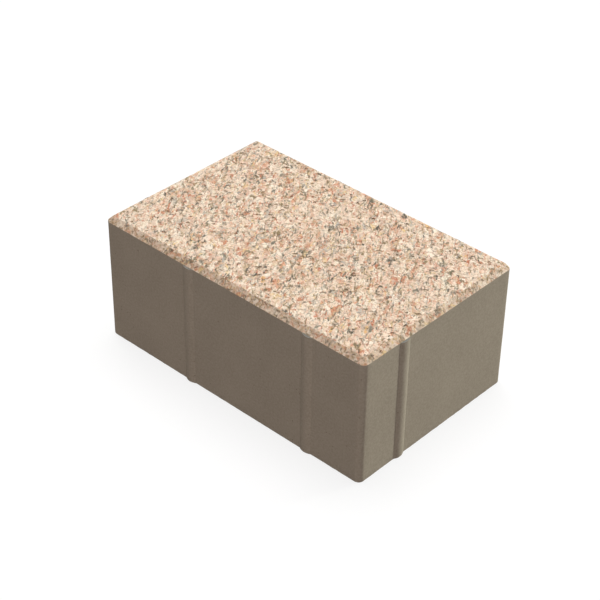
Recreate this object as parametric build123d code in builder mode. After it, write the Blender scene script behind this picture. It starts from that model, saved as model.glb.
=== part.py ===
"""Rectangular concrete paver with spacer ribs, pressed in one piece. Millimetres.

The paver lies as it is laid: +X along it, +Z up, and the origin under its middle, on the bed.
The wearing face, with its bevel, is on top.
"""

import os
from math import sqrt

from build123d import *

# Block
LENGTH = 190.0
WIDTH = 120.0
HEIGHT = 80.0

# Bevel at 45 degrees round the wearing face, and the corners of that face inside the bevel
BEVEL = 3.2
FACE_CORNER_RADIUS = 0.3

# Section of a spacer rib: a round crown that meets the side on two small hollow feet
RIB_PROJECTION = 1.25
RIB_CROWN_RADIUS = 6.5
RIB_FOOT_RADIUS = 0.5

# Middles of the ribs. The two long sides carry the same pair, and the two ends the same one
RIB_FROM_LEFT_END = 65.5
RIB_FROM_RIGHT_END = 38.0
RIB_FROM_FRONT_SIDE = 31.5

# The bevel keeps its width round a corner
corner_radius = FACE_CORNER_RADIUS + BEVEL

# Ribs stop at the foot of the bevel, each with a flat top
shoulder_height = HEIGHT - BEVEL

# Crown and foot meet in a common tangent, on the line between their centres
centre_distance = RIB_CROWN_RADIUS + RIB_FOOT_RADIUS
foot_reach = sqrt(centre_distance**2 - (centre_distance - RIB_PROJECTION) ** 2)
tangent_reach = foot_reach * RIB_CROWN_RADIUS / centre_distance
tangent_height = RIB_PROJECTION * RIB_FOOT_RADIUS / centre_distance

rib_x = (RIB_FROM_LEFT_END - LENGTH / 2, LENGTH / 2 - RIB_FROM_RIGHT_END)
rib_y = RIB_FROM_FRONT_SIDE - WIDTH / 2

# Each place turns the section's own +Y to point out of its side
front_ribs = [Location((x, -WIDTH / 2), 180) for x in rib_x]
back_ribs = [Location((x, WIDTH / 2), 0) for x in rib_x]
right_rib = Location((LENGTH / 2, rib_y), -90)
left_rib = Location((-LENGTH / 2, rib_y), 90)

with BuildSketch() as rib_section:
    with BuildLine():
        crown = ThreePointArc(
            (-tangent_reach, tangent_height), (0, RIB_PROJECTION), (tangent_reach, tangent_height)
        )
        right_foot = TangentArc(crown @ 1, (foot_reach, 0), tangent=crown % 1)
        left_foot = TangentArc(crown @ 0, (-foot_reach, 0), tangent=-(crown % 0))
        Line(left_foot @ 1, right_foot @ 1)
    make_face()

with BuildPart() as paver:
    with BuildSketch():
        RectangleRounded(LENGTH, WIDTH, corner_radius)
    extrude(amount=HEIGHT)
    wearing_face = paver.faces().sort_by(Axis.Z)[-1]
    chamfer(wearing_face.edges(), BEVEL)
    with BuildSketch():
        with Locations(*front_ribs, *back_ribs, right_rib, left_rib):
            add(rib_section.sketch)
    extrude(amount=shoulder_height)

paver.part.label = "paver"
os.makedirs("parts", exist_ok=True)
export_step(paver.part, "parts/paver.step")
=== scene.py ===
"""Looks of the concrete paver: the chips of its wearing face, its cast sides, floor, light and camera."""

import math

import bpy
import numpy as np
from mathutils import Matrix, Vector, noise
from mathutils.geometry import delaunay_2d_cdt


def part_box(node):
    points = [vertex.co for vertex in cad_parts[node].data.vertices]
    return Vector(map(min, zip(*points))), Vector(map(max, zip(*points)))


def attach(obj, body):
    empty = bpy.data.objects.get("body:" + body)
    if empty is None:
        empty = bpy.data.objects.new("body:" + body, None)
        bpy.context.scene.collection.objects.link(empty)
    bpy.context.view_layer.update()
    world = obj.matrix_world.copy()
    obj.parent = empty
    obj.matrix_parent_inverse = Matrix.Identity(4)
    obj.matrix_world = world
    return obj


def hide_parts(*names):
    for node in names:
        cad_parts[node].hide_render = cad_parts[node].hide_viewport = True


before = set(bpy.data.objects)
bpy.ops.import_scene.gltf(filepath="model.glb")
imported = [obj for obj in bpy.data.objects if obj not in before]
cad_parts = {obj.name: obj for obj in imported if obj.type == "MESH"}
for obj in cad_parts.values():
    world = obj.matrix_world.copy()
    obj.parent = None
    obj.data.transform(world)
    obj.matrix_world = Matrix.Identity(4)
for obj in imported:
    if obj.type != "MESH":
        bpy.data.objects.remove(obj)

# Shapes are worked out in millimetres, and Blender's unit is the metre
MM = 0.001

# A length that counts as nothing, the plan length of one step down the bevel, and the seed of all draws
TINY = 1e-7
SLANT = math.sqrt(0.5)
SEED = 19

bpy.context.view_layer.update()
_, node_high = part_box("paver")

# Shape of the block, as in the CAD model
BEVEL = 3.2
FACE_CORNER_RADIUS = 0.3
RIB_PROJECTION = 1.25
RIB_CROWN_RADIUS = 6.5
RIB_FOOT_RADIUS = 0.5
RIB_FROM_LEFT_END = 65.5
RIB_FROM_RIGHT_END = 38.0
RIB_FROM_FRONT_SIDE = 31.5

half_length = node_high.x / MM - RIB_PROJECTION
half_width = node_high.y / MM - RIB_PROJECTION
height = node_high.z / MM
shoulder = height - BEVEL
corner_radius = FACE_CORNER_RADIUS + BEVEL

# Half-widths of a rib: at its feet, and where its crown meets them
rib_centres = RIB_CROWN_RADIUS + RIB_FOOT_RADIUS
rib_foot_reach = math.sqrt(rib_centres**2 - (rib_centres - RIB_PROJECTION) ** 2)
rib_tangent_reach = rib_foot_reach * RIB_CROWN_RADIUS / rib_centres
rib_x = (RIB_FROM_LEFT_END - half_length, half_length - RIB_FROM_RIGHT_END)
rib_y = RIB_FROM_FRONT_SIDE - half_width

# Wearing face, unrolled flat: a core rectangle, and round it the face's corners and the bevel
core_half = np.array([half_length, half_width]) - corner_radius
flat_reach = FACE_CORNER_RADIUS + BEVEL / SLANT

# Chips of the wearing face: shaken rows of small ones, which go up to a radius, and number and radius of
# larger ones. The middle of a small one lies outside a larger one by a share of its radius. Here and below,
# a name with SIZES or RANGE holds the limits of a random number or factor
CHIP_SPACING = 1.80
ROW_SPACING = CHIP_SPACING * math.sqrt(0.75)
CHIP_SHAKE = 0.46
CHIP_SIZES = (0.75, 1.25)
SMALL_CHIP = 0.62 * CHIP_SPACING
LARGE_CHIPS = ((50, 2.0), (420, 1.35))
LARGE_SIZES = (0.8, 1.25)
LARGE_MARGIN = 0.5

# At the foot of the bevel: a margin with no chip's middle in it, and a band of chips that are mirrored
FOOT_MARGIN = 0.3 * CHIP_SPACING
MIRROR_BAND = 2.2 * CHIP_SPACING

# Relief: height, tilt and dome of a chip, shift of its crown as a share of its radius, the gap round it,
# which leaves at least a share of the chip, and the groove in the gap
CHIP_RISE = 0.06
LOWEST_RISE = -2.0 * CHIP_RISE
HIGHEST_RISE = 1.5 * CHIP_RISE
HIGHEST_RIM = 1.6 * CHIP_RISE
CHIP_TILT = 0.04
CHIP_DOME = 0.06
DOME_RANGE = (0.2, 1.4)
CROWN_SHIFT = 0.25
CHIP_GAP = 0.12
GAP_RANGE = (0.6, 1.5)
LEAST_INSET = 0.4
GROOVE_DEPTH = 0.15
GROOVE_RANGE = (0.55, 1.35)

# Share of the small chips that are lost, and the holes that they leave, which are deeper in the middle
LOST_CHIPS = 0.04
LOST_DEPTH = 0.55
LOST_DIP = 0.15

# The relief dies away towards the foot of the bevel, and falls to a share at the edge above it
CALM_EDGE = 1.4
EDGE_RELIEF = 0.35

# How open a groove is to the paste in it, and how open at the foot of the bevel
OPEN_RANGE = (0.25, 1.0)
FOOT_OPEN = 0.3

# Tones of the chips, from 0 to 1, pick their minerals: patches of like tones, the last tone, the share of
# the tones that large chips have, and the mark of a lost chip
PATCH_SIZE = 7.0
PATCH_STRENGTH = 0.08
LAST_TONE = 0.999
LARGE_TONES = 0.95
LOST_TONE = -1.0

# Minerals run on from chip to chip one way, within an angle of it, and their flakes are longer that way
GRAIN_WAY = math.radians(124.0)
GRAIN_ANGLE = math.radians(32.0)
GRAIN_SHARE = 0.6
GRAIN_STRETCH = 2.2

# Mesh of the cast sides: steps along a side, across a rib and round a corner, the border of a rib, the rows
# down a side, and the strip between the bevel's foot and the first row
SIDE_STEP = 2.6
RIB_STEPS = 15
RIB_BORDER = 0.3
CORNER_STEPS = 8
ROW_STEP = 3.0
LIP = 0.25

# Faint waves of the sides, and wear of the lower edge, which varies as a share of its depth
WAVE_SIZE = 9.0
WAVE_STRENGTH = 0.05
EDGE_WEAR = 0.30
WEAR_MEAN = 0.6
WEAR_SIZE = 2.5
WEAR_STRENGTH = 0.5
WEAR_LIMITS = (0.1, 1.2)

# Underside: spacing of its points, their place between their neighbours, and its roughness
UNDERSIDE_STEP = 5.0
UNDERSIDE_RANGE = (0.2, 0.8)
UNDERSIDE_ROUGHNESS = 0.12

# Edges that bend by more than this stay sharp
SHARP_ANGLE = math.radians(30.0)


def bearing(points):
    """Directions of points as seen from the origin, in plan."""
    return np.arctan2(points[:, 1], points[:, 0])


def from_core(flat):
    """Nearest points of the core rectangle, and the steps from there to the points, with their lengths."""
    core = np.clip(flat, -core_half, core_half)
    away = flat - core
    return core, away, np.linalg.norm(away, axis=1)


def fold(flat, lift):
    """Points of the unrolled wearing face, put on the block and lifted out of it."""
    core, away, reach = from_core(flat)
    way = away / np.maximum(reach, TINY)[:, None]
    drop = np.maximum(reach - FACE_CORNER_RADIUS, 0.0) * SLANT
    plan = core + way * (np.minimum(reach, FACE_CORNER_RADIUS) + drop)[:, None]
    slope = np.where(drop > 0.0, SLANT, 0.0)
    rise = np.where(drop > 0.0, SLANT, 1.0)
    plan = plan + way * (slope * lift)[:, None]
    return np.column_stack([plan, height - drop + rise * lift])


def wavy(points, scale, strength):
    """Smooth random numbers at points, either side of zero."""
    return np.array([noise.noise(Vector(p) / scale) for p in points]) * strength


def triangulated(points, border=()):
    """Triples of neighbouring points, only those inside the border where one is given."""
    inside_only = 1 if border else 0
    made = delaunay_2d_cdt([Vector(p) for p in points], border, [], inside_only, TINY)
    source = [ids[0] for ids in made[3]]
    return [[source[i] for i in face] for face in made[2]]


def scatter_chips(rng):
    """Middles and radii of the chips: shaken rows of small ones, with larger ones between them."""
    edge = core_half + flat_reach
    rows = np.arange(-edge[1], edge[1], ROW_SPACING)
    across = np.arange(-edge[0], edge[0], CHIP_SPACING)
    points = np.array(
        [(u + (k % 2) * CHIP_SPACING / 2, v) for k, v in enumerate(rows) for u in across]
    )
    points += rng.uniform(-CHIP_SHAKE, CHIP_SHAKE, points.shape) * CHIP_SPACING
    radii = CHIP_SPACING / 2 * rng.uniform(*CHIP_SIZES, len(points))
    for count, radius in LARGE_CHIPS:
        for middle in rng.uniform(-edge, edge, (count, 2)):
            size = radius * rng.uniform(*LARGE_SIZES)
            apart = np.linalg.norm(points - middle, axis=1) > size + LARGE_MARGIN * radii
            points = np.vstack([points[apart], middle])
            radii = np.append(radii[apart], size)
    _, _, reach = from_core(points)
    inside = reach < flat_reach - FOOT_MARGIN
    return points[inside], radii[inside]


def mirrored_outside(points, radii):
    """Copies of the chips near the foot of the bevel, mirrored in it, so that the last chips end there."""
    core, away, reach = from_core(points)
    near = reach > flat_reach - MIRROR_BAND
    turned = (2 * flat_reach - reach[near]) / reach[near]
    return core[near] + away[near] * turned[:, None], radii[near]


def groove_corners(middles, radii):
    """Corners of the grooves, the three chips round each, and whether it is on the foot of the bevel."""
    count = len(middles)
    outer, outer_radii = mirrored_outside(middles, radii)
    points = np.vstack([middles, outer])
    triples = np.array(triangulated(points))
    triples = triples[(triples < count).any(axis=1)]

    # A corner lies between its three chips, nearer to the small ones
    pull = 1.0 / np.append(radii, outer_radii)[triples]
    corners = (points[triples] * pull[..., None]).sum(axis=1) / pull.sum(axis=1)[:, None]
    on_foot = (triples >= count).any(axis=1)
    core, away, reach = from_core(corners[on_foot])
    corners[on_foot] = core + away * (flat_reach / reach)[:, None]
    return corners, triples, on_foot


def chip_rings(middles, corners, triples):
    """Each chip's corners in order round it: corner, chip, step between them, and place of the next one."""
    count = len(middles)
    corner_of, place = np.nonzero(triples < count)
    chip_of = triples[corner_of, place]
    spoke = corners[corner_of] - middles[chip_of]
    order = np.lexsort((bearing(spoke), chip_of))
    corner_of, chip_of, spoke = corner_of[order], chip_of[order], spoke[order]
    first = np.searchsorted(chip_of, np.arange(count))
    last = first + np.bincount(chip_of, minlength=count) - 1
    following = np.arange(len(chip_of)) + 1
    following[last] = first
    return corner_of, chip_of, spoke, following


def calmed(flat, lift):
    """Relief that is held down at the foot of the bevel and along the edge above it."""
    _, _, reach = from_core(flat)
    at_foot = ((flat_reach - reach) / CALM_EDGE).clip(0.0, 1.0)
    from_edge = (np.abs(flat) - core_half).max(axis=1)
    from_edge = np.where(reach > 0.0, reach, from_edge) - FACE_CORNER_RADIUS
    at_edge = (np.abs(from_edge) / CALM_EDGE).clip(EDGE_RELIEF, 1.0)
    return lift * at_foot * at_edge


def run_on(tone, middles, triples, rng):
    """Hands the tones of some chips on to the next chip along the grain."""
    way = np.array([math.cos(GRAIN_WAY), math.sin(GRAIN_WAY)])
    pairs = np.vstack([triples[:, [0, 1]], triples[:, [1, 2]], triples[:, [2, 0]]])
    step = middles[pairs[:, 1]] - middles[pairs[:, 0]]
    onward = step @ way > math.cos(GRAIN_ANGLE) * np.linalg.norm(step, axis=1)
    pairs = pairs[onward & (rng.random(len(pairs)) < GRAIN_SHARE)]
    for chip, following in pairs[np.argsort(middles[pairs[:, 0]] @ way)]:
        tone[following] = tone[chip]


def chip_tones(middles, triples, small, lost, rng):
    """A tone for each chip, random but alike in patches and along the grain."""
    patch = wavy(np.column_stack([middles, np.zeros(len(middles))]), PATCH_SIZE, PATCH_STRENGTH)
    tone = (rng.random(len(middles)) + patch).clip(0.0, LAST_TONE)
    run_on(tone, middles, triples, rng)
    tone[~small] *= LARGE_TONES
    tone[lost] = LOST_TONE
    return tone


def chip_face(rng):
    """Mesh of the wearing face: each chip has a rim and a crown, and grooves run between the chips.

    With it come each face's tone, how open each point is to the paste, and the points on the bevel's foot.
    """
    middles, radii = scatter_chips(rng)
    count = len(middles)
    small = radii < SMALL_CHIP
    corners, triples, on_foot = groove_corners(middles, radii)
    corner_of, chip_of, spoke, following = chip_rings(middles, corners, triples)

    # Heights of the chips, of their rims and crowns, and of the grooves
    rise = rng.normal(0.0, CHIP_RISE, count).clip(LOWEST_RISE, HIGHEST_RISE)
    lost = (rng.random(count) < LOST_CHIPS) & small
    rise[lost] = -LOST_DEPTH
    tilt = rng.normal(0.0, CHIP_TILT, (count, 2))
    gap = CHIP_GAP * rng.uniform(*GAP_RANGE, len(spoke))
    inset = np.maximum(1.0 - gap / np.linalg.norm(spoke, axis=1), LEAST_INSET)
    rim = middles[chip_of] + spoke * inset[:, None]
    rim_lift = rise[chip_of] + (spoke * tilt[chip_of]).sum(axis=1)
    rim_lift = rim_lift.clip(-LOST_DEPTH, HIGHEST_RIM)
    crown = middles + rng.uniform(-CROWN_SHIFT, CROWN_SHIFT, (count, 2)) * radii[:, None]
    crown_lift = rise + CHIP_DOME * rng.uniform(*DOME_RANGE, count)
    crown_lift[lost] -= LOST_DIP
    groove_lift = -GROOVE_DEPTH * rng.uniform(*GROOVE_RANGE, len(corners))
    groove_lift[on_foot] = 0.0
    flat = np.vstack([corners, rim, crown])
    lift = calmed(flat, np.concatenate([groove_lift, rim_lift, crown_lift]))
    paste_and_crease_shade = rng.uniform(*OPEN_RANGE, len(corners))
    paste_and_crease_shade[on_foot] = FOOT_OPEN
    paste_and_crease_shade = np.concatenate([paste_and_crease_shade, np.zeros(len(rim) + count)])

    # Walls of the grooves, then tops of the chips
    rim_id = len(corners) + np.arange(len(rim))
    crown_id = len(corners) + len(rim) + chip_of
    walls = np.column_stack([corner_of, corner_of[following], rim_id[following], rim_id])
    tops = np.column_stack([rim_id, rim_id[following], crown_id])
    faces = walls.tolist() + tops.tolist()
    tone = chip_tones(middles, triples[~on_foot], small, lost, rng)
    face_tone = np.tile(tone[chip_of], 2)

    foot = np.nonzero(on_foot)[0]
    foot = foot[np.argsort(bearing(corners[foot]))]
    return fold(flat, lift), faces, face_tone, paste_and_crease_shade, foot


def rib_height(apart):
    """How far a rib stands out of its side, at a distance from the rib's middle."""
    apart = np.abs(apart)
    crown = np.sqrt(np.maximum(RIB_CROWN_RADIUS**2 - apart**2, 0.0))
    crown += RIB_PROJECTION - RIB_CROWN_RADIUS
    to_foot = np.clip(rib_foot_reach - apart, 0.0, RIB_FOOT_RADIUS)
    foot = RIB_FOOT_RADIUS - np.sqrt(RIB_FOOT_RADIUS**2 - to_foot**2)
    return np.where(apart < rib_tangent_reach, crown, foot)


def side_stations(half, ribs):
    """Places along a straight side, closer across each rib, with the rib's height and the creases there,
    which get painted shade.
    """
    crown = np.linspace(-rib_tangent_reach, rib_tangent_reach, RIB_STEPS)
    beside = rib_foot_reach + RIB_BORDER
    across = np.array([-beside, -rib_foot_reach, *crown, rib_foot_reach])
    starts = [-half, *(middle + beside for middle in ribs)]
    ends = [*(middle - beside for middle in ribs), half]
    stations = []
    for k, (start, end) in enumerate(zip(starts, ends)):
        steps = math.ceil((end - start) / SIDE_STEP)
        stations.append(np.linspace(start, end, steps, endpoint=False))
        if k < len(ribs):
            stations.append(ribs[k] + across)
    stations = np.concatenate(stations)
    rise = np.zeros(len(stations))
    shaded_crease = np.zeros(len(stations))
    for middle in ribs:
        rise = np.maximum(rise, rib_height(stations - middle))
        shaded_crease[np.isclose(np.abs(stations - middle), rib_foot_reach)] = 1.0
    return stations, np.where(rise < TINY, 0.0, rise), shaded_crease


def plan_ring():
    """Outline of the sides in plan: points, outward directions, rib heights and creases for painted shade,
    anticlockwise.
    """
    points, ways, rises, shaded_creases = [], [], [], []
    straight = ((core_half[0], half_width, rib_x), (core_half[1], half_length, (rib_y,)))
    for quarter in range(4):
        half, out, ribs = straight[quarter % 2]
        turn = quarter * math.pi / 2
        along = np.array([math.cos(turn), math.sin(turn)])
        outward = np.array([along[1], -along[0]])

        # The outline runs backwards along the back and the left end
        forward = 1.0 if quarter in (0, 1) else -1.0
        stations, rise, shaded_crease = side_stations(half, sorted(forward * r for r in ribs))
        points.append(stations[:, None] * along + out * outward)
        ways.append(np.tile(outward, (len(stations), 1)))
        rises.append(rise)
        shaded_creases.append(shaded_crease)
        bend = turn - math.pi / 2 + np.linspace(0, math.pi / 2, CORNER_STEPS, endpoint=False)
        radial = np.column_stack([np.cos(bend), np.sin(bend)])
        points.append(half * along + (out - corner_radius) * outward + corner_radius * radial)
        ways.append(radial)
        rises.append(np.zeros(CORNER_STEPS))
        shaded_creases.append(np.zeros(CORNER_STEPS))
    ring = [np.concatenate(values) for values in (points, ways, rises, shaded_creases)]
    start = np.argmin(bearing(ring[0]))
    return [np.roll(values, -start, 0) for values in ring]


def side_rows(plan, ways):
    """Rows of points down the sides: the first is even, the others wave a little, and the last is worn."""
    top = shoulder - LIP
    levels = np.append(np.linspace(top, EDGE_WEAR, round(shoulder / ROW_STEP)), 0.0)
    rows = []
    for level in levels:
        row = np.column_stack([plan, np.full(len(plan), level)])
        out = wavy(row, WAVE_SIZE, WAVE_STRENGTH) if level < top else np.zeros(len(plan))
        if level == 0.0:
            wear = WEAR_MEAN + wavy(row, WEAR_SIZE, WEAR_STRENGTH)
            out = out - EDGE_WEAR * wear.clip(*WEAR_LIMITS)
        row[:, :2] += ways * out[:, None]
        rows.append(row)
    return rows


def cast_sides(first_id):
    """Mesh of the four sides, whose first faces are the ribs' top ends.

    With it come the creases for painted shade, the number of those first faces, and the points of the lip
    and the bottom.
    """
    points, ways, rise, shaded_crease = plan_ring()
    count = len(points)
    lip = np.column_stack([points, np.full(count, shoulder - LIP)])
    rows = side_rows(points + ways * rise[:, None], ways)

    # The first row leaves the lip only at the ribs, where their flat top ends lie between the two
    ribbed = rise > 0.0
    rows[0] = rows[0][ribbed]
    lip_id = first_id + np.arange(count)
    crest_id = lip_id.copy()
    crest_id[ribbed] = first_id + count + np.arange(len(rows[0]))
    below = first_id + count + len(rows[0])
    row_id = [crest_id] + [below + k * count + np.arange(count) for k in range(len(rows) - 1)]
    faces = []
    for upper, lower in zip([lip_id, *row_id], row_id):
        around = np.column_stack([upper, lower, np.roll(lower, -1), np.roll(upper, -1)])
        quads = [list(dict.fromkeys(quad)) for quad in around.tolist()]
        faces.append([quad for quad in quads if len(quad) > 2])
    rib_ends = len(faces[0])
    shaded_crease = np.concatenate([shaded_crease, shaded_crease[ribbed], np.tile(shaded_crease, len(rows) - 1)])
    return np.vstack([lip, *rows]), sum(faces, []), shaded_crease, rib_ends, lip_id, row_id[-1]


def zipped(upper, upper_points, lower, lower_points):
    """Triangles between two rings that both go round anticlockwise, the first above the second."""
    upper_bearing, lower_bearing = bearing(upper_points), bearing(lower_points)
    upper_bearing = np.append(upper_bearing, upper_bearing[0] + 2 * math.pi)
    lower_bearing = np.append(lower_bearing, lower_bearing[0] + 2 * math.pi)
    faces, i, j = [], 0, 0
    while i < len(upper) or j < len(lower):
        a, b = upper[i % len(upper)], lower[j % len(lower)]
        step_up = j == len(lower) or (i < len(upper) and upper_bearing[i + 1] < lower_bearing[j + 1])
        if step_up:
            i += 1
            faces.append([a, b, upper[i % len(upper)]])
        else:
            j += 1
            faces.append([a, b, lower[j % len(lower)]])
    return faces


def underside(ring, ring_id, first_id, rng):
    """Mesh of the underside, inside the bottom ring: slightly rough, and nowhere below the ring."""
    inner = core_half - UNDERSIDE_STEP / 2
    u, v = (np.arange(-half, half, UNDERSIDE_STEP) for half in inner)
    spots = np.array([(x, y) for x in u for y in v])
    spots += rng.uniform(*UNDERSIDE_RANGE, spots.shape) * UNDERSIDE_STEP
    spots = spots[(np.abs(spots) < core_half).all(axis=1)]
    hoop = [(k, (k + 1) % len(ring)) for k in range(len(ring))]
    triples = triangulated(np.vstack([ring[:, :2], spots]), hoop)
    named = np.concatenate([ring_id, first_id + np.arange(len(spots))]).tolist()
    faces = [[named[i] for i in reversed(triple)] for triple in triples]
    rough = rng.uniform(0.0, UNDERSIDE_ROUGHNESS, len(spots))
    return np.column_stack([spots, rough]), faces


def placed(name, data):
    """A new object of the scene."""
    made = bpy.data.objects.new(name, data)
    bpy.context.scene.collection.objects.link(made)
    return made


def build_paver(face_material, side_material):
    """The whole block as one closed mesh, in place of the CAD node."""
    rng = np.random.default_rng(SEED)
    face_points, face_faces, tone, paste_and_crease_shade, foot = chip_face(rng)
    side_points, side_faces, shaded_crease, rib_ends, lip_id, bottom_id = cast_sides(len(face_points))
    points = np.vstack([face_points, side_points])
    lip_faces = zipped(foot.tolist(), points[foot], lip_id.tolist(), points[lip_id])
    under_points, under_faces = underside(points[bottom_id], bottom_id, len(points), rng)
    points = np.vstack([points, under_points])
    faces = face_faces + lip_faces + side_faces + under_faces

    mesh = bpy.data.meshes.new("paver_block")
    mesh.from_pydata((points * MM).tolist(), [], faces)
    mesh.materials.append(face_material)
    mesh.materials.append(side_material)
    cast = np.arange(len(faces)) >= len(face_faces)
    mesh.polygons.foreach_set("material_index", cast.astype(np.int32))
    mesh.polygons.foreach_set("use_smooth", cast)

    # On the wearing face, each face holds its chip's tone, and each point how open it is to the paste. On
    # the sides, ones mark the ribs' top ends and the creases, which get painted shade
    marks = np.zeros(len(faces))
    marks[: len(tone)] = tone
    first_end = len(face_faces) + len(lip_faces)
    marks[first_end : first_end + rib_ends] = 1.0
    mesh.attributes.new("chip", "FLOAT", "FACE").data.foreach_set("value", marks)
    paste_and_shade_marks = np.concatenate([paste_and_crease_shade, shaded_crease, np.zeros(len(under_points))])
    mesh.attributes.new("paste_and_crease_shade", "FLOAT", "POINT").data.foreach_set("value", paste_and_shade_marks)
    mesh.validate()
    mesh.set_sharp_from_angle(angle=SHARP_ANGLE)
    return placed("paver_block", mesh)


def linear(red, green, blue):
    """A colour written as 0 to 255, as a shader takes it."""
    share = [c / 255 for c in (red, green, blue)]
    return (*[c / 12.92 if c <= 0.04045 else ((c + 0.055) / 1.055) ** 2.4 for c in share], 1.0)


# A noise is written as spots to the metre and levels of finer spots, and most of it lies between these
# limits. The height of grit, as bump, is in metres
NOISE_RANGE = (0.3, 0.7)
GRIT_HEIGHT = 0.0002


class Shader:
    """The nodes of a material or of the world, with one call for each node."""

    def __init__(self, owner):
        owner.use_nodes = True
        self.owner = owner
        self.tree = owner.node_tree
        self.tree.nodes.clear()

    def add(self, kind, inputs=(), **settings):
        """A new node. A socket given as an input is linked, and any other value is set."""
        made = self.tree.nodes.new("ShaderNode" + kind)
        for name, value in settings.items():
            setattr(made, name, value)
        for name, value in dict(inputs).items():
            if isinstance(value, bpy.types.NodeSocket):
                self.tree.links.new(value, made.inputs[name])
            else:
                made.inputs[name].default_value = value
        return made

    def maths(self, operation, a, b=0.0):
        """One step of arithmetic."""
        return self.add("Math", {0: a, 1: b}, operation=operation).outputs[0]

    def scaled(self, vector, factor):
        """A vector or colour times a number."""
        return self.add("VectorMath", {0: vector, "Scale": factor}, operation="SCALE").outputs[0]

    def span(self, value, low, high, to_low=0.0, to_high=1.0):
        """A value between two limits, turned into one between two others."""
        limits = {1: low, 2: high, 3: to_low, 4: to_high}
        return self.add("MapRange", {0: value, **limits}).outputs[0]

    def mix(self, share, a, b, kind="RGBA"):
        """A mixture of two colours or vectors. The node has a pair of sockets for each kind."""
        first, result = {"VECTOR": (4, 1), "RGBA": (6, 2)}[kind]
        return self.add("Mix", {0: share, first: a, first + 1: b}, data_type=kind).outputs[result]

    def clouds(self, place, scale, detail):
        """Soft noise, of so many spots to the metre and levels of finer ones."""
        return self.add("TexNoise", {"Vector": place, "Scale": scale, "Detail": detail}).outputs["Fac"]

    def attribute(self, name):
        """A number that the mesh holds."""
        return self.add("Attribute", attribute_name=name).outputs["Fac"]

    def palette(self, lot, shares):
        """A colour for each number from 0 to 1, by the colours' shares. A new ramp has two stops."""
        made = self.add("ValToRGB", {"Fac": lot})
        ramp = made.color_ramp
        ramp.interpolation = "CONSTANT"
        start = 0.0
        for k, (share, colour) in enumerate(shares):
            stop = ramp.elements[k] if k < 2 else ramp.elements.new(start)
            stop.position = start
            stop.color = linear(*colour)
            start += share
        return made.outputs["Color"]

    def gritty(self, colour, roughness, specular, relief, strength):
        """A surface with fine relief as bump."""
        bump = self.add("Bump", {"Strength": strength, "Distance": GRIT_HEIGHT, "Height": relief})
        inputs = {"Base Color": colour, "Roughness": roughness, "Specular IOR Level": specular}
        inputs["Normal"] = bump.outputs["Normal"]
        return self.add("BsdfPrincipled", inputs).outputs[0]

    def finish(self, surface, output="OutputMaterial"):
        """The material or world, with its surface joined to the output."""
        self.add(output, {"Surface": surface})
        return self.owner


# Minerals of the chips: share of the chips, and colour. Large chips have none of the last, dark ones
MINERALS = (
    (0.16, (244, 228, 208)),
    (0.36, (237, 215, 193)),
    (0.25, (230, 204, 181)),
    (0.10, (226, 193, 169)),
    (0.05, (212, 175, 148)),
    (0.01, (198, 137, 103)),
    (0.005, (224, 182, 126)),
    (0.03, (203, 190, 173)),
    (0.015, (175, 168, 158)),
    (0.014, (158, 145, 115)),
    (0.006, (120, 111, 86)),
)

# Brightness of the chips, by a second number drawn out of the tone, and of the clouds in them
SECOND_DRAW = 83.0
CHIP_SHADES = (0.92, 1.06)
CHIP_CLOUDS = (900.0, 3.0)
CLOUD_SHADES = (0.90, 1.08)

# Soft flakes over the chips: flakes to the metre, the level of noise at which one shows, how much that
# kind gathers in patches, and colour. All kinds have the same soft edge, finer levels, swirl and patches
FLAKES = (
    (310.0, 0.525, -0.08, (242, 228, 206)),
    (400.0, 0.535, 0.07, (208, 182, 150)),
    (380.0, 0.575, 0.07, (216, 162, 130)),
    (410.0, 0.583, 0.07, (194, 124, 92)),
    (370.0, 0.592, 0.08, (192, 178, 162)),
    (380.0, 0.615, 0.0, (230, 200, 146)),
    (400.0, 0.582, 0.08, (138, 118, 82)),
    (400.0, 0.590, 0.10, (126, 120, 103)),
    (400.0, 0.602, 0.12, (90, 85, 71)),
)
FLAKE_EDGE = 0.14
FLAKE_DETAIL = 1.0
FLAKE_SWIRL = 1.3
PATCHES = (120.0, 1.0)

# Cement paste: colour, the most of it that covers a chip, and how open a groove is where it begins
PASTE = (160, 132, 104)
PASTE_SHARE = 0.4
PASTE_START = 0.1

# Bevel: a film of paste, partly painted shade of the bevel, that sets in within millimetres of the face's
# edge, and flakes that are rounder, larger by a factor and closer together
BEVEL_FILM_AND_SHADE = 0.84
FILM_EDGE = 0.25
BEVEL_FLAKES = 1.3
BEVEL_CROWD = 0.016

# Finish of the wearing face
FACE_GRIT = (2600.0, 4.0)
FACE_BUMP = 0.5
FACE_ROUGHNESS = (0.55, 0.8)
FACE_SPECULAR = 0.35


def past_face_edge(shader, body):
    """How far a place lies outside the flat face's edge, seen from above."""
    plan = shader.add("SeparateXYZ", {0: body}).outputs
    past = []
    for k, half in enumerate((half_length, half_width)):
        from_middle = shader.maths("ABSOLUTE", plan[k])
        past.append(shader.maths("SUBTRACT", from_middle, (half - BEVEL) * MM))
    return shader.maths("MAXIMUM", *past)


def grain_place(shader, body, on_bevel):
    """Places for noise: drawn out along the grain on the face, and even on the bevel."""
    turned = {"Vector": body, "Rotation": (0.0, 0.0, GRAIN_WAY), "Scale": (GRAIN_STRETCH, 1.0, 1.0)}
    grain = shader.add("Mapping", turned, vector_type="TEXTURE").outputs[0]
    even = shader.scaled(body, 1.0 / BEVEL_FLAKES)
    return shader.mix(on_bevel, grain, even, "VECTOR")


def chip_colour(shader, chip, cloud):
    """Each chip's mineral, with a brightness of its own and clouds in it."""
    second = shader.maths("FRACT", shader.maths("MULTIPLY", chip, SECOND_DRAW))
    shade = shader.span(second, 0.0, 1.0, *CHIP_SHADES)
    cloudy = shader.span(cloud, *NOISE_RANGE, *CLOUD_SHADES)
    return shader.scaled(shader.palette(chip, MINERALS), shader.maths("MULTIPLY", shade, cloudy))


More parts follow.
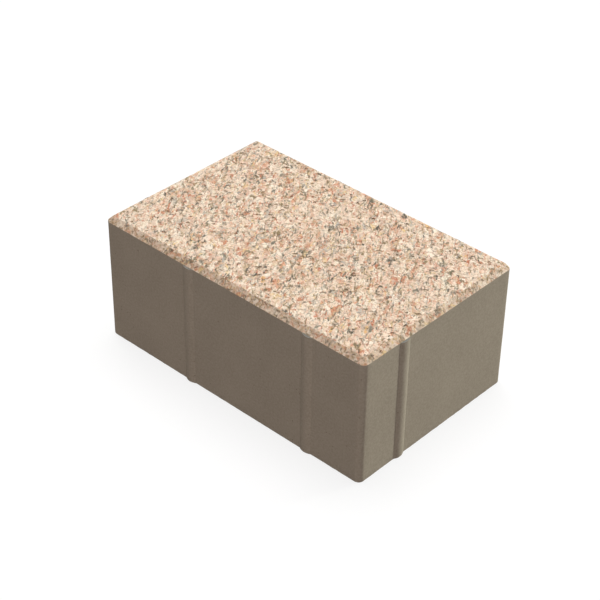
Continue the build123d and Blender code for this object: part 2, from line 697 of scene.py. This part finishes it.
def with_flakes(shader, colour, place, on_bevel):
    """A colour with soft flakes over it, one kind after the other."""
    patch = shader.clouds(place, *PATCHES)
    crowd = shader.maths("MULTIPLY", on_bevel, BEVEL_CROWD)
    for k, (scale, level, gathering, flake) in enumerate(FLAKES):
        inputs = {"Vector": place, "W": float(k), "Scale": scale}
        inputs.update({"Detail": FLAKE_DETAIL, "Distortion": FLAKE_SWIRL})
        swirl = shader.add("TexNoise", inputs, noise_dimensions="4D").outputs["Fac"]
        swirl = shader.maths("ADD", swirl, shader.maths("MULTIPLY", patch, gathering))
        swirl = shader.maths("ADD", swirl, crowd)
        start = level + gathering / 2
        shown = shader.span(swirl, start, start + FLAKE_EDGE)
        colour = shader.mix(shown, colour, linear(*flake))
    return colour


def with_paste(shader, colour, chip, beyond):
    """A colour with paste over it: in the grooves, where chips are lost, and as a film on the bevel that is
    partly painted shade.
    """
    # The film on the bevel is paste and, in part, painted shade of the bevel
    film_and_shade = shader.span(beyond, -FILM_EDGE * MM, FILM_EDGE * MM, 0.0, BEVEL_FILM_AND_SHADE)
    paste_and_crease_shade = shader.maths("MAXIMUM", shader.attribute("paste_and_crease_shade"), film_and_shade)
    covered = shader.span(paste_and_crease_shade, PASTE_START, 1.0, 0.0, PASTE_SHARE)
    lost = shader.maths("LESS_THAN", chip, LOST_TONE / 2)
    covered = shader.maths("MAXIMUM", covered, shader.maths("MULTIPLY", lost, PASTE_SHARE))
    return shader.mix(covered, colour, linear(*PASTE))


def granite_face():
    """Washed face of fine granite chips in cement paste."""
    shader = Shader(bpy.data.materials.new("granite_face"))
    body = shader.add("TexCoord").outputs["Object"]
    beyond = past_face_edge(shader, body)
    on_bevel = shader.maths("GREATER_THAN", beyond, 0.0)
    place = grain_place(shader, body, on_bevel)
    chip = shader.attribute("chip")
    cloud = shader.clouds(place, *CHIP_CLOUDS)
    colour = chip_colour(shader, chip, cloud)
    colour = with_flakes(shader, colour, place, on_bevel)
    colour = with_paste(shader, colour, chip, beyond)
    grit = shader.clouds(place, *FACE_GRIT)
    roughness = shader.span(cloud, *NOISE_RANGE, *FACE_ROUGHNESS)
    return shader.finish(shader.gritty(colour, roughness, FACE_SPECULAR, grit, FACE_BUMP))


# Cast concrete: two colours of cement and sand, and the clouds' share in mixing them
CONCRETE = (176, 163, 145)
CONCRETE_DARK = (157, 145, 128)
SIDE_CLOUDS = (55.0, 5.0)
SAND = (850.0, 2.0)
CLOUD_SHARE = 0.3

# Pores: cells to the metre, the share of the cells that hold one, its edge, the colour of the shade painted
# in it, which the creases take too, how far it takes that shade, and its depth
PORE_CELLS = 420.0
PORE_SHARE = 0.07
PORE_EDGE = (0.08, 0.2)
HOLLOW_SHADE = (112, 102, 90)
PORE_SHADE = 0.7
PORE_DEPTH = 2.0

# Ribs: colour of the painted shade on their top ends, and how far the creases at their feet take on the
# painted shade of the pores
RIB_END_SHADE = (134, 133, 126)
CREASE_SHADE = 0.12

# Finish of the sides
SIDE_GRIT = (1500.0, 4.0)
SIDE_BUMP = 0.35
SIDE_ROUGHNESS = (0.82, 0.95)
SIDE_SPECULAR = 0.05


def open_pores(shader, place):
    """One inside a pore, falling to nought at its edge."""
    cells = shader.add("TexVoronoi", {"Vector": place, "Scale": PORE_CELLS}).outputs
    lot = shader.add("SeparateColor", {0: cells["Color"]}).outputs[0]
    chosen = shader.maths("LESS_THAN", lot, PORE_SHARE)
    return shader.maths("MULTIPLY", chosen, shader.span(cells["Distance"], *PORE_EDGE, 1.0, 0.0))


def cast_concrete():
    """Plain cast side: fine sand and cement, faintly clouded, with small open pores, and painted shade in
    the pores, in the creases at the ribs' feet and on the ribs' top ends.
    """
    shader = Shader(bpy.data.materials.new("cast_concrete"))
    place = shader.add("TexCoord").outputs["Object"]
    cloud = shader.clouds(place, *SIDE_CLOUDS)
    cloudy = shader.span(cloud, *NOISE_RANGE, 0.0, CLOUD_SHARE)
    sandy = shader.span(shader.clouds(place, *SAND), *NOISE_RANGE, 0.0, 1.0 - CLOUD_SHARE)
    mixed = shader.maths("ADD", cloudy, sandy)
    colour = shader.mix(mixed, linear(*CONCRETE_DARK), linear(*CONCRETE))

    # Painted shade in the pores
    pore = open_pores(shader, place)
    colour = shader.mix(shader.maths("MULTIPLY", pore, PORE_SHADE), colour, linear(*HOLLOW_SHADE))
    # Painted shade in the creases at the ribs' feet
    shaded_crease = shader.maths("MULTIPLY", shader.attribute("paste_and_crease_shade"), CREASE_SHADE)
    colour = shader.mix(shaded_crease, colour, linear(*HOLLOW_SHADE))
    # Painted shade on the ribs' top ends, which the chip attribute marks with ones
    colour = shader.mix(shader.attribute("chip"), colour, linear(*RIB_END_SHADE))

    grit = shader.clouds(place, *SIDE_GRIT)
    relief = shader.maths("SUBTRACT", grit, shader.maths("MULTIPLY", pore, PORE_DEPTH))
    roughness = shader.span(cloud, *NOISE_RANGE, *SIDE_ROUGHNESS)
    return shader.finish(shader.gritty(colour, roughness, SIDE_SPECULAR, relief, SIDE_BUMP))


# Floor: half its width in metres, and its grey and glow, first as it shows, white with a faint shadow, and
# then as it throws light back
FLOOR_HALF = 8.0
FLOOR_SHOWN = (0.22, 0.80)
FLOOR_BOUNCE = (0.05, 0.10)


def seen_directly(shader):
    """One for what the camera sees itself, in a mirror or through glass, and nought for bounced light."""
    path = shader.add("LightPath").outputs
    seen = shader.maths("MAXIMUM", path["Is Camera Ray"], path["Is Glossy Ray"])
    return shader.maths("MAXIMUM", seen, path["Is Transmission Ray"])


def glowing(shader, grey, glow):
    """A matt grey surface that glows."""
    matt = shader.add("BsdfDiffuse", {"Color": (grey, grey, grey, 1.0)}).outputs[0]
    glow = shader.add("Emission", {"Strength": glow}).outputs[0]
    return shader.add("AddShader", {0: matt, 1: glow}).outputs[0]


def add_floor():
    """A wide plain floor."""
    shader = Shader(bpy.data.materials.new("pale_floor"))
    shown = glowing(shader, *FLOOR_SHOWN)
    bounce = glowing(shader, *FLOOR_BOUNCE)
    both = shader.add("MixShader", {0: seen_directly(shader), 1: bounce, 2: shown}).outputs[0]
    mesh = bpy.data.meshes.new("floor")
    signs = ((-1, -1), (1, -1), (1, 1), (-1, 1))
    mesh.from_pydata([(x * FLOOR_HALF, y * FLOOR_HALF, 0.0) for x, y in signs], [], [(0, 1, 2, 3)])
    mesh.materials.append(shader.finish(both))
    placed("floor", mesh)


# Light: a dim sky all round, a broad lamp overhead, a low one behind the right end, and weak ones in front
# and at the left. Each lamp has its level on a white surface that faces it, its colour, the way towards it
# and its width in degrees
SKY = (0.105, 0.100, 0.102)
LAMPS = (
    ("overhead", 0.84, (1.0, 0.99, 0.98), (-0.14, 0.16, 1.0), 45.0),
    ("rear", 1.05, (0.935, 1.0, 0.965), (0.345, 0.935, 0.08), 8.0),
    ("front", 0.320, (1.0, 0.925, 0.935), (0.50, -0.86, 0.10), 14.0),
    ("left", 0.20, (1.0, 1.0, 1.0), (-0.85, 0.45, 0.30), 30.0),
)


def add_light():
    """The lamps, and a world that lights as the sky does and shows as white."""
    for name, level, colour, toward, width in LAMPS:
        lamp = bpy.data.lights.new(name, "SUN")
        lamp.energy = level * math.pi
        lamp.color = colour
        lamp.angle = math.radians(width)
        holder = placed(name, lamp)
        holder.rotation_euler = Vector(toward).to_track_quat("Z", "Y").to_euler()
    shader = Shader(bpy.data.worlds.new("studio"))
    sky = shader.add("Background", {"Color": (*SKY, 1.0)}).outputs[0]
    white = shader.add("Background", {"Color": (1.0, 1.0, 1.0, 1.0)}).outputs[0]
    both = shader.add("MixShader", {0: seen_directly(shader), 1: sky, 2: white}).outputs[0]
    bpy.context.scene.world = shader.finish(both, "OutputWorld")


# Camera: where it stands as seen from the middle of the underside, in degrees and metres, and its lens
CAMERA_AZIMUTH = math.radians(42.409)
CAMERA_ELEVATION = math.radians(35.729)
CAMERA_ROLL = math.radians(0.952)
CAMERA_DISTANCE = 0.94463
CAMERA_ASIDE = -0.00236
CAMERA_RAISED = 0.03162
CAMERA_CLIP = 0.01
LENS_MM = 99.47


def add_camera():
    """The camera, at the photograph's viewing angle."""
    back = Vector((math.sin(CAMERA_AZIMUTH), -math.cos(CAMERA_AZIMUTH), 0.0))
    back *= math.cos(CAMERA_ELEVATION)
    back.z = math.sin(CAMERA_ELEVATION)
    right = Vector((0.0, 0.0, 1.0)).cross(back).normalized()
    up = back.cross(right)
    across = math.cos(CAMERA_ROLL) * right + math.sin(CAMERA_ROLL) * up
    upward = back.cross(across)
    camera = bpy.data.cameras.new("camera")
    camera.lens = LENS_MM
    camera.clip_start = CAMERA_CLIP
    holder = placed("camera", camera)
    holder.rotation_euler = Matrix((across, upward, back)).transposed().to_euler()
    holder.location = CAMERA_DISTANCE * back + CAMERA_ASIDE * right + CAMERA_RAISED * up
    bpy.context.scene.camera = holder


block = build_paver(granite_face(), cast_concrete())
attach(block, "root")
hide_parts("paver")
add_floor()
add_light()
add_camera()
bpy.context.scene.view_settings.view_transform = "Standard"
